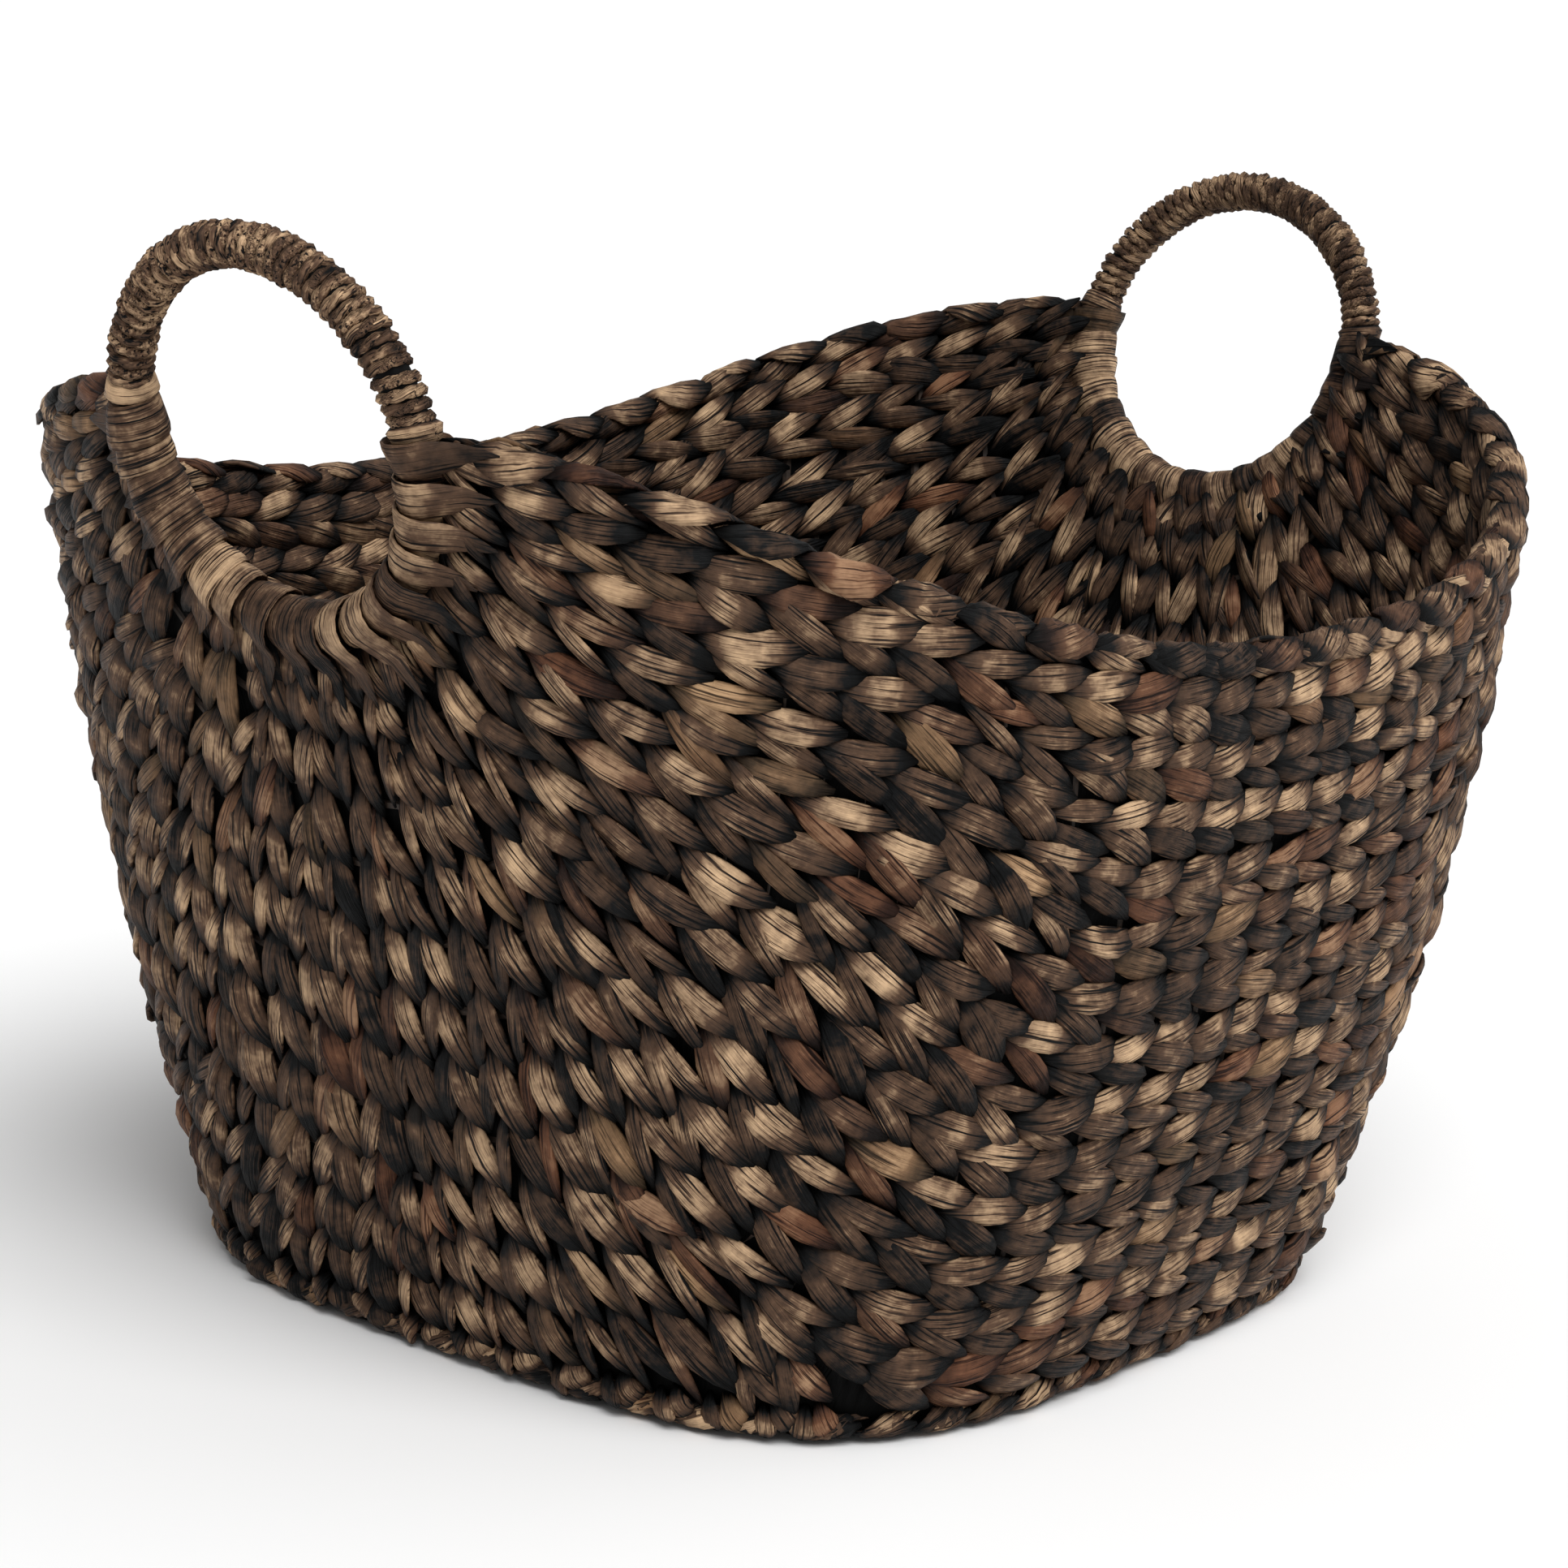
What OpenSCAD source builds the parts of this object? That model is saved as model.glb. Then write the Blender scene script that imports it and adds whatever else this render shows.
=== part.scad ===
/* [Body] */
// Length of the body over the weave at handle height
rim_len = 578; // [520:2:640]
// Width of the body over the weave near the rim
rim_wid = 468; // [420:2:520]
// Length of the foot
base_len = 368; // [340:2:420]
// Width of the foot
base_wid = 362; // [340:2:400]
// Height of the rim beside the handles
shoulder_h = 352; // [330:1:380]
// Height of the rim at the middle of the long sides
rim_low_h = 280; // [260:1:300]
// How fast the long sides belly out above the foot
side_belly = 2.3; // [1.4:0.1:2.6]
// How steeply the rim dips away from the handles
rim_dip = 2.1; // [1.6:0.1:2.6]

/* [Wall] */
// Full thickness of the woven wall
wall_t = 13; // [13:0.5:15]
// Thickness of the woven layer on each side of the stakes
layer_t = 4; // [3.5:0.1:4]
// Diameter of a rattan stake
stake_d = 4.0; // [3.2:0.1:4.2]
// Spacing of the cross stakes on the floor
cross_pitch = 23; // [21:0.5:23]
// Spacing of the hooped stakes down the ends
hoop_pitch = 24; // [22:0.5:24]
// Diameter of the plaited roll along the rim
rim_roll_d = 12; // [10:0.5:12]
// Diameter of the twisted roll around the foot
foot_roll_d = 10; // [8:0.5:10]

/* [Handles] */
// Radius of the steel ring, to the middle of the wire
ring_r = 66; // [60:1:70]
// Diameter of the steel wire
wire_d = 8; // [6:0.5:8]
// Diameter over the cord on the arch
cord_d = 16; // [14:0.5:17]
// Diameter over the leaves that bind the lower half
bind_d = 22; // [18:0.5:22]
// Diameter over the lashing at each shoulder
lash_d = 21; // [18:0.5:21]
// Height of the middle of the ring
ring_h = 340; // [335:1:345]
// Outward lean of the ring
ring_lean = 15; // [10:1:17]

/* [Hidden] */

// corner power of the plan outline, at the foot and at the top
n_foot = 3.5;
n_top = 2.7;
// bearing of the seam between an end panel and a side panel
seam = 42;
mid_d = wall_t / 2;
ring_x = rim_len / 2 - mid_d - 0.5;
n_cross = 12;
n_hoop = 10;
// bearings where the first and the last hooped stake reach the rim
hoop_far = 46;
hoop_near = 19.5;
// power of a hooped stake's turn from level to upright: boxy low down, round below the ring
function hoop_turn(i) = 5 - 2.8 * (i - 1) / (n_hoop - 1);

function unit(v) = v / norm(v);
function level(z) = min(1, max(0, z / shoulder_h));
function half_len(z) = base_len / 2 + (rim_len - base_len) / 2 * z / shoulder_h;
function half_wid(z) = base_wid / 2
    + (rim_wid - base_wid) / 2 * (1 - pow(1 - level(z), side_belly));
function corner_n(z) = n_foot + (n_top - n_foot) * level(z);

// distance from the centre line to the wall at bearing b, height z and depth d below its outside
function reach(b, z, d) =
    let (n = corner_n(z), l = half_len(z) - d, w = half_wid(z) - d)
    pow(pow(abs(cos(b)) / l, n) + pow(abs(sin(b)) / w, n), -1 / n);

// bearing 0 is the left end, 90 the front, 180 the right end
function wall_at(b, z, d) = let (r = reach(b, z, d)) [-r * cos(b), -r * sin(b), z];

// rim height at a bearing: highest at the ends, lowest halfway along the sides
function rim_z(b) =
    let (r = reach(b, shoulder_h, 0), f = abs(r * cos(b)) / (rim_len / 2))
    rim_low_h + (shoulder_h - rim_low_h) * pow(f, rim_dip);

// top of the woven layers: under the rim roll, and under the ring at the ends
function weave_top(b) =
    let (under_roll = rim_z(b) - rim_roll_d - 0.3,
         s = abs(tan(b)) * reach(0, ring_h - 60, mid_d), k = ring_r + bind_d / 2 + 0.6)
    (s < k && abs(cos(b)) > 0.5)
        ? min(under_roll, ring_h - cos(ring_lean) * sqrt(k * k - s * s) - 0.4)
        : under_roll;

// closed solid through a list of loops that all have the same number of points
module loft(loops, closed = false) {
    m = len(loops[0]);
    n = len(loops);
    pts = [for (l = loops) for (p = l) p];
    sides = [for (i = [0 : closed ? n - 1 : n - 2]) for (j = [0 : m - 1])
        let (a = i * m + j, b = i * m + (j + 1) % m,
             c = ((i + 1) % n) * m + (j + 1) % m, d = ((i + 1) % n) * m + j)
        each [[a, b, c], [a, c, d]]];
    caps = closed ? [] : [[for (j = [m - 1 : -1 : 0]) j],
                          [for (j = [0 : m - 1]) (n - 1) * m + j]];
    polyhedron(points = pts, faces = concat(sides, caps), convexity = 8);
}

// round tube of radius r along a path, with its seam turned away from the point [0, 0, eye_z]
function path_dir(p, i, closed) =
    let (n = len(p),
         a = closed ? p[(i + n - 1) % n] : p[max(0, i - 1)],
         b = closed ? p[(i + 1) % n] : p[min(n - 1, i + 1)])
    unit(b - a);
function tube_loops(p, r, sides, eye_z, closed) =
    [for (i = [0 : len(p) - 1])
        let (t = path_dir(p, i, closed),
             o = p[i] - [0, 0, eye_z],
             u = unit(o - (o * t) * t),
             v = cross(t, u))
        [for (k = [0 : sides - 1]) p[i] + r * (cos(-k * 360 / sides) * u + sin(-k * 360 / sides) * v)]];
module tube(p, d, sides, eye_z, closed = false) {
    loft(tube_loops(p, d / 2, sides, eye_z, closed), closed);
}

// one woven layer between two bearings, from z0 up to the top of the weave
module wall_layer(bearings, z0, d0, d1, rows) {
    loft([for (b = bearings)
        let (top = weave_top(b))
        concat([for (j = [0 : rows]) wall_at(b, z0 + (top - z0) * j / rows, d0)],
               [for (j = [rows : -1 : 0]) wall_at(b, z0 + (top - z0) * j / rows, d1)])]);
}
side_bearings = [for (i = [0 : 18]) seam + (180 - 2 * seam) * i / 18];
under_ring = atan((ring_r + bind_d / 2 + 0.6) / reach(0, ring_h - 60, mid_d));
end_bearings = concat(
    [for (i = [0 : 4]) -seam + (seam - under_ring) * i / 5],
    [for (i = [-5 : 5]) atan(tan(under_ring) * sin(i * 18))],
    [for (i = [1 : 5]) under_ring + (seam - under_ring) * i / 5]);
module outer_layer(bearings) { wall_layer(bearings, foot_roll_d + 0.5, 0, layer_t, 7); }
module inner_layer(bearings) { wall_layer(bearings, 19, wall_t - layer_t, wall_t, 7); }

// stake that drops from the front rim, crosses the floor and climbs to the back rim
function stake_x(x0, z) = x0 * (1 + 0.3 * z / shoulder_h);
function side_y(x, z, d) =
    let (n = corner_n(z), l = half_len(z) - d, w = half_wid(z) - d)
    w * pow(max(0.001, 1 - pow(abs(x) / l, n)), 1 / n);
function side_rim_z(x) = rim_low_h + (shoulder_h - rim_low_h) * pow(abs(x) / (rim_len / 2), rim_dip);
function cross_half(x0) =
    let (top = side_rim_z(stake_x(x0, shoulder_h * 0.85)) - rim_roll_d - 10,
         y0 = side_y(x0, 0, 0))
    concat([for (i = [0 : 8]) let (z = top + (27 - top) * i / 8) [stake_x(x0, z), side_y(stake_x(x0, z), z, mid_d), z]],
           [[x0, y0 - 0.1, 19.8], [x0, y0 - 5.2, 14.4], [x0, y0 - 14, 10.4], [x0, y0 - 26, 6.5]]);
module cross_stake(i) {
    x0 = cross_pitch * (i - (n_cross + 1) / 2);
    half = cross_half(x0);
    front = [for (p = half) [p[0], -p[1], p[2]]];
    back = [for (j = [len(half) - 1 : -1 : 0]) half[j]];
    color([0.36, 0.27, 0.19]) tube(concat(front, back), stake_d, 6, 150);
}

// stake that hoops around an end: level under the ring, then up to the rim at both corners.
// k runs from -1 at the back rim through 0 under the ring to 1 at the front rim
function hoop_at(i, k) =
    let (m = hoop_turn(i), a = 90 * k,
         far = pow(pow(abs(sin(a)), m) + pow(abs(cos(a)), m), -1 / m),
         b = far * sin(a) * (hoop_far + (hoop_near - hoop_far) * (i - 1) / (n_hoop - 1)),
         top = rim_z(b) - rim_roll_d - 10)
    wall_at(b, top - (top - hoop_pitch * i) * far * cos(a), mid_d);
module hoop_stake(i, side) {
    p = [for (k = [-12 : 12]) hoop_at(i, k / 12)];
    color([0.36, 0.27, 0.19])
        tube([for (q = (side < 0 ? p : [for (j = [len(p) - 1 : -1 : 0]) p[j]])) [-side * q[0], q[1], q[2]]],
             stake_d, 6, 150);
}

// rim roll and the rod under it, from one ring's shoulder to the other's
function rim_path(b0, drop, steps) =
    [for (i = [0 : steps]) let (b = b0 + (180 - 2 * b0) * i / steps) wall_at(b, rim_z(b) - drop, mid_d)];
module front_or_back(front) { mirror([0, front ? 0 : 1, 0]) children(); }
module rim_roll(front) {
    color([0.24, 0.18, 0.14]) front_or_back(front)
        tube(rim_path(17, rim_roll_d / 2, 36), rim_roll_d, 8, 150);
}
module rim_rod(front) {
    color([0.10, 0.10, 0.10]) front_or_back(front)
        tube(rim_path(17, rim_roll_d + 5, 30), stake_d - 0.2, 6, 150);
}

// rolls around the foot
function foot_path(z, d, steps) = [for (i = [0 : steps - 1]) wall_at(360 * i / steps, z, d)];
module foot_roll() {
    color([0.22, 0.17, 0.13])
        tube(foot_path(foot_roll_d / 2, foot_roll_d / 2, 56), foot_roll_d, 8, foot_roll_d / 2, true);
}
module inner_foot_roll() {
    color([0.22, 0.17, 0.13]) tube(foot_path(18.5, 22, 48), 8, 6, 18.5, true);
}
function plan(z, d, steps) = [for (i = [0 : steps - 1]) let (p = wall_at(360 * i / steps, z, d)) [p[0], p[1]]];
module floor_weave_lower() {
    color([0.20, 0.15, 0.12]) linear_extrude(height = 3.8) polygon(plan(0, foot_roll_d + 1.5, 72));
}
module floor_weave_upper() {
    color([0.22, 0.17, 0.13]) translate([0, 0, 9.2]) linear_extrude(height = 3.8) polygon(plan(0, 31, 72));
}

// the ring in its own plane, 0 degrees at the top of the arch, then leaned out and put in place
module at_ring(side) {
    translate([side * ring_x, 0, ring_h])
        rotate([0, side * ring_lean, 0]) rotate([0, 90, 0]) rotate([0, 0, 180]) children();
}
module sleeve(from, to, od, id) {
    rotate([0, 0, from]) rotate_extrude(angle = to - from, $fn = 96)
        translate([ring_r, 0]) difference() {
            circle(d = od, $fn = 32);
            circle(d = id, $fn = 32);
        }
}
arch = 78;
shoulder = 96;
module handle_ring(side) {
    color([0.12, 0.12, 0.12]) at_ring(side)
        rotate_extrude($fn = 96) translate([ring_r, 0]) circle(d = wire_d, $fn = 32);
}
module handle_cord(side) { color([0.28, 0.21, 0.16]) at_ring(side) sleeve(-arch, arch, cord_d, wire_d); }
module ring_binding(side) { color([0.25, 0.19, 0.14]) at_ring(side) sleeve(shoulder, 360 - shoulder, bind_d, wire_d); }
module lashing(side, front) {
    color([0.22, 0.16, 0.12]) at_ring(side)
        if (front) sleeve(arch, shoulder, lash_d, wire_d);
        else sleeve(-shoulder, -arch, lash_d, wire_d);
}

module woven(d, bearings) {
    color([0.26, 0.20, 0.15]) if (d == 0) outer_layer(bearings); else inner_layer(bearings);
}
module back_side() { mirror([0, 1, 0]) children(); }
module right_end() { mirror([1, 0, 0]) children(); }

handle_ring(-1);  // left_handle_ring
handle_ring(1);  // right_handle_ring
handle_cord(-1);  // left_handle_cord
handle_cord(1);  // right_handle_cord
ring_binding(-1);  // left_ring_binding
ring_binding(1);  // right_ring_binding
lashing(-1, true);  // left_front_lashing
lashing(-1, false);  // left_back_lashing
lashing(1, true);  // right_front_lashing
lashing(1, false);  // right_back_lashing
rim_roll(true);  // front_rim_roll
rim_roll(false);  // back_rim_roll
rim_rod(true);  // front_rim_rod
rim_rod(false);  // back_rim_rod
foot_roll();
inner_foot_roll();
floor_weave_lower();
floor_weave_upper();
woven(0, side_bearings);  // front_outer_weave
woven(1, side_bearings);  // front_inner_weave
back_side() woven(0, side_bearings);  // back_outer_weave
back_side() woven(1, side_bearings);  // back_inner_weave
woven(0, end_bearings);  // left_outer_weave
woven(1, end_bearings);  // left_inner_weave
right_end() woven(0, end_bearings);  // right_outer_weave
right_end() woven(1, end_bearings);  // right_inner_weave
for (i = [1 : n_cross]) cross_stake(i);
for (i = [1 : n_hoop]) hoop_stake(i, -1);
for (i = [1 : n_hoop]) hoop_stake(i, 1);
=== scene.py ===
import math

import bmesh
import bpy
import numpy as np
from mathutils import Matrix, Vector


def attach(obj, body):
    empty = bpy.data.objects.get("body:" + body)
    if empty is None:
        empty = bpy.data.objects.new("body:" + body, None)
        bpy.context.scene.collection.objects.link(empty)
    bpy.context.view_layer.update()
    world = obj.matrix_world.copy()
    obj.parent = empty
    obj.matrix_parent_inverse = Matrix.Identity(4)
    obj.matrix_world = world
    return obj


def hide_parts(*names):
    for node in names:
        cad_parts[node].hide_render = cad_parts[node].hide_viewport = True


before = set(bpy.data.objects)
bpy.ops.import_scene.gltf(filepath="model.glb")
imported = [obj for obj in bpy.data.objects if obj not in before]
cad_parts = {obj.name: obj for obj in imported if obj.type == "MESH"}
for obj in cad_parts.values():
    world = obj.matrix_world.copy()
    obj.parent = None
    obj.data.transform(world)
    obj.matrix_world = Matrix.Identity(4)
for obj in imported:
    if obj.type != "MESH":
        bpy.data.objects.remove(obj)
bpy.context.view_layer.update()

bl_info = {
    "name": "Twined log basket",
    "version": (1, 0, 0),
    "blender": (4, 5, 0),
    "location": "View3D > Sidebar > Basket",
    "description": "Twined leaf walls, floor, rim and ring handles of a scooped log basket",
    "category": "Object",
}

MM = 0.001
BODY = "root"


# ---------------------------------------------------------------- settings

class BasketSizes(bpy.types.PropertyGroup):
    """Sizes of the basket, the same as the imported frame's"""
    rim_len: bpy.props.FloatProperty(name="Body length", description="Length at handle height",
                                     default=0.578, unit="LENGTH")
    rim_wid: bpy.props.FloatProperty(name="Body width", description="Width near the rim",
                                     default=0.468, unit="LENGTH")
    foot_len: bpy.props.FloatProperty(name="Foot length", description="Length of the foot",
                                      default=0.368, unit="LENGTH")
    foot_wid: bpy.props.FloatProperty(name="Foot width", description="Width of the foot",
                                      default=0.362, unit="LENGTH")
    shoulder_h: bpy.props.FloatProperty(name="Shoulder height", description="Rim height at the handles",
                                        default=0.352, unit="LENGTH")
    rim_low_h: bpy.props.FloatProperty(name="Low rim height", description="Rim height halfway along",
                                       default=0.280, unit="LENGTH")
    wall_t: bpy.props.FloatProperty(name="Wall thickness", description="Through both woven faces",
                                    default=0.013, unit="LENGTH")
    ring_r: bpy.props.FloatProperty(name="Ring radius", description="To the middle of the wire",
                                    default=0.066, unit="LENGTH")
    ring_h: bpy.props.FloatProperty(name="Ring height", description="Middle of the ring above the floor",
                                    default=0.340, unit="LENGTH")
    ring_lean: bpy.props.FloatProperty(name="Ring lean", description="Outward lean of the rings",
                                       default=math.radians(15), subtype="ANGLE")
    leaf_pairs: bpy.props.IntProperty(name="Leaf pairs", description="Twined pairs from end to rim",
                                      default=20)
    cord_turns: bpy.props.IntProperty(name="Cord turns", description="Turns of cord round each arch",
                                      default=43)


class BasketColours(bpy.types.PropertyGroup):
    """Colours as sRGB hex: the leaves' stains with their painted shade and painted highlight, and the floor
    """
    # Near-black: painted shade at the leaves' tucked ends and in the gaps between them, and the dark of the
    # fibre cracks
    leaf_shade_and_cracks: bpy.props.StringProperty(name="Leaf shade", description="Painted shade at tucked ends and in gaps, and the dark of the cracks",
                                        default="020202")
    # Charcoal of the stain, its cool tint a painted sheen, deepening toward the tucked ends as painted shade
    leaf_charcoal_sheen: bpy.props.StringProperty(name="Leaf charcoal, painted sheen", description="Charcoal of the leaf's flanks, cool as a painted sheen",
                                        default="101112")
    leaf_mid: bpy.props.StringProperty(name="Leaf body", description="Stained leaf", default="5A4435")
    # Light tan of the leaf's crown, brightened as a painted highlight
    leaf_crown_highlight_tan: bpy.props.StringProperty(name="Leaf crown", description="Leaf's light tan on its crown, raised as a painted highlight",
                                         default="CDAC88")
    leaf_rust: bpy.props.StringProperty(name="Leaf rust", description="Reddish leaves", default="74432A")
    leaf_straw: bpy.props.StringProperty(name="Leaf straw", description="Pale, dry leaves", default="A98560")
    floor_pale: bpy.props.StringProperty(name="Studio floor", description="Pale floor", default="F4F4F4")


def sizes():
    return bpy.context.scene.basket_sizes


def colours():
    return bpy.context.scene.basket_colours


def linear(hex_value):
    """sRGB hex to linear RGBA"""
    out = []
    for i in (0, 2, 4):
        c = int(hex_value[i:i + 2], 16) / 255
        out.append(c / 12.92 if c <= 0.04045 else ((c + 0.055) / 1.055) ** 2.4)
    return (*out, 1.0)


# ---------------------------------------------------------------- the basket's own geometry (mm)

N_FOOT, N_TOP = 3.5, 2.7          # corner power of the plan outline
SIDE_BELLY, RIM_DIP = 2.3, 2.1
ROLL_D, FOOT_ROLL_D = 12.0, 10.0
CROSS_PITCH = 23.0                # spacing of the stakes across the floor
BIND_R = 10.5                     # over the leaves that bind the ring
SHOULDER = 86.0                   # where the wall meets the ring, degrees from its top
FOOT_PAIRS = 7                    # pairs of each quarter that run down into the foot
SEAM = 42                         # bearing where the end becomes the long side
TALLEST = 356                     # over the shoulders
RELAX = 6000                      # rounds in which the stream settles
GRID_Z = 4.0                      # height of a cell of the pairs' stream, one degree wide
STEP = 2.0                        # between the points of a traced line
N_ROWS = 11                       # rows of crossings under the ring's edge
NARROWEST, WIDEST = 15.5, 27.0    # of a pair
SIDE_ROWS = (49.0, 53.5, 59.0, 66.0, 74.0, 82.0)    # bearings at the foot where further rows start
# pairs in the order they are laid in: the corner's near the ring, the end's middle ones lower down
LAID_IN = (7, 15, 1, 11, 19, 4, 9, 13, 17, 5, 10, 2, 14, 8, 6, 12, 18, 0, 16, 3)


def unit(vectors):
    return vectors / np.linalg.norm(vectors, axis=-1, keepdims=True)


def square_to(along, vectors):
    """Unit vectors made square to the unit vectors along"""
    return unit(vectors - (vectors * along).sum(-1, keepdims=True) * along)


def run_along(points):
    """Distance from the first point to each of the points"""
    return np.concatenate([[0], np.cumsum(np.linalg.norm(np.diff(points, axis=0), axis=1))])


def grid_faces(rows, columns, round_rows=True, round_columns=True):
    """Faces of a grid of points that may close round on itself either way"""
    return [[i * columns + j, i * columns + (j + 1) % columns,
             (i + 1) % rows * columns + (j + 1) % columns, (i + 1) % rows * columns + j]
            for i in range(rows if round_rows else rows - 1)
            for j in range(columns if round_columns else columns - 1)]


def half_len(z):
    s = sizes()
    return (s.foot_len / 2 + (s.rim_len - s.foot_len) / 2 * (z * MM) / s.shoulder_h) / MM


def half_wid(z):
    s = sizes()
    t = np.clip(z * MM / s.shoulder_h, 0, 1)
    return (s.foot_wid / 2 + (s.rim_wid - s.foot_wid) / 2 * (1 - (1 - t) ** SIDE_BELLY)) / MM


def corner_n(z):
    return N_FOOT + (N_TOP - N_FOOT) * np.clip(z * MM / sizes().shoulder_h, 0, 1)


def wall(b, z):
    """Point of the wall's outside at bearing b (degrees, 0 left end, 90 front) and height z"""
    b, z = np.broadcast_arrays(np.radians(b), np.asarray(z, float))
    n = corner_n(z)
    r = ((np.abs(np.cos(b)) / half_len(z)) ** n + (np.abs(np.sin(b)) / half_wid(z)) ** n) ** (-1 / n)
    return np.stack([-r * np.cos(b), -r * np.sin(b), z], -1)


def wall_out(b, z):
    """Outward unit normal of the wall"""
    b, z = np.broadcast_arrays(np.asarray(b, float), np.asarray(z, float))
    db = wall(b + 0.15, z) - wall(b - 0.15, z)
    dz = wall(b, z + 0.6) - wall(b, z - 0.6)
    n = unit(np.cross(db, dz))
    sign = np.sign(n[..., 0] * wall(b, z)[..., 0] + n[..., 1] * wall(b, z)[..., 1])
    return n * sign[..., None]


def rim_z(b):
    s = sizes()
    x = np.abs(wall(b, s.shoulder_h / MM)[..., 0])
    f = x / (s.rim_len / 2 / MM)
    return (s.rim_low_h + (s.shoulder_h - s.rim_low_h) * f ** RIM_DIP) / MM


def weave_top(b):
    return rim_z(b) - ROLL_D * 0.8


def ring_edge(radius):
    """Bearings and heights round the lower half of the ring, from its bottom up to the shoulder"""
    s = sizes()
    turn = np.radians(np.linspace(180, SHOULDER, 40))
    y = radius * np.sin(turn)
    z = s.ring_h / MM + radius * np.cos(turn) * math.cos(s.ring_lean)
    return np.stack([np.degrees(np.arctan2(y, half_len(z) - 4)), z], -1)


def smooth(line, passes=3):
    """Corner-cut a polyline, ends kept"""
    for _ in range(passes):
        q = line[:-1] * 0.75 + line[1:] * 0.25
        r = line[:-1] * 0.25 + line[1:] * 0.75
        mid = np.stack([q, r], 1).reshape(-1, line.shape[1])
        line = np.vstack([line[:1], mid[1:-1], line[-1:]])
    return line


def length_along(line):
    return run_along(wall(line[:, 0], line[:, 1]))


class Fan:
    """The pairs' stream over a quarter of the wall: 0 down the end's middle, all pairs along the rim"""

    def __init__(self):
        s = sizes()
        total = s.leaf_pairs
        self.b = np.arange(91.0)
        self.z = np.arange(FOOT_ROLL_D, TALLEST, GRID_Z)
        b, z = np.meshgrid(self.b, self.z, indexing="ij")
        p = np.abs(wall(b, z))
        v = (z - s.ring_h / MM) / math.cos(s.ring_lean)
        turn = np.degrees(np.arctan2(p[..., 1], -v))
        value = total * np.clip(turn / (180 - SHOULDER), 0, 1)
        # held: the ring's edge, the rim, the foot and the end's middle line; the rest settles between
        bound, above = np.hypot(p[..., 1], v) < s.ring_r / MM + BIND_R, z >= weave_top(b)
        fixed = bound | above
        value[above & ~bound] = total
        corner = np.interp(SEAM, self.b, p[:, 0, 1])
        value[:, 0] = FOOT_PAIRS * np.clip(p[:, 0, 1] / corner, 0, 1)
        value[SEAM + 1:, 0] = FOOT_PAIRS
        fixed[:, 0] = True
        value[0] = 0
        fixed[0] = True
        self.wide = wide = np.linalg.norm(np.gradient(wall(b, z), axis=0), axis=-1)
        east = GRID_Z / (0.5 * (wide[1:] + wide[:-1]))
        north = 0.5 * (wide[:, 1:] + wide[:, :-1]) / GRID_Z

        def gathered(cells):
            flow = np.zeros_like(cells)
            flow[1:] += east * cells[:-1]
            flow[:-1] += east * cells[1:]
            flow[:, 1:] += north * cells[:, :-1]
            flow[:, :-1] += north * cells[:, 1:]
            return flow

        weight = gathered(np.ones_like(value))
        for _ in range(RELAX):
            value = np.where(fixed, value, gathered(value) / weight)
        self.slope_b = np.gradient(value, axis=0) / wide
        self.slope_z = np.gradient(value, axis=1) / GRID_Z

    def at(self, grid, b, z):
        i = min(max(b, 0), 89.999)
        j = min(max((z - self.z[0]) / GRID_Z, 0), len(self.z) - 1.001)
        i0, j0 = int(i), int(j)
        i, j = i - i0, j - j0
        return ((grid[i0, j0] * (1 - i) + grid[i0 + 1, j0] * i) * (1 - j)
                + (grid[i0, j0 + 1] * (1 - i) + grid[i0 + 1, j0 + 1] * i) * j)

    def row(self, b, z):
        """A row of crossings, square to the pairs: from the end's middle line or the foot up to the rim"""
        line = [(b, z)]
        while z < weave_top(b) - 2 and len(line) < 400:
            gb, gz = self.at(self.slope_b, b, z), self.at(self.slope_z, b, z)
            slope = math.hypot(gb, gz)
            b += STEP * gb / slope / self.at(self.wide, b, z)
            z += STEP * gz / slope
            line.append((b, z))
        return np.array(line)


def spread(line, members, total):
    """Every pair's place along a row: those present evenly spaced, the others halfway between neighbours"""
    run = length_along(line)
    n = len(members)
    share = {p: (k + 0.5) / n for k, p in enumerate(members)}
    for p in set(range(total)) - set(members):
        k = sum(q < p for q in members)
        gap = [q for q in range(total) if q not in members and sum(m < q for m in members) == k]
        low, high = (max(0, k - 0.5) / n, min(n, k + 0.5) / n)
        share[p] = low + (high - low) * (gap.index(p) + 1) / (len(gap) + 1)
    at = {p: f * run[-1] for p, f in share.items()}
    return {p: (np.interp(a, run, line[:, 0]), np.interp(a, run, line[:, 1])) for p, a in at.items()}


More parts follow.
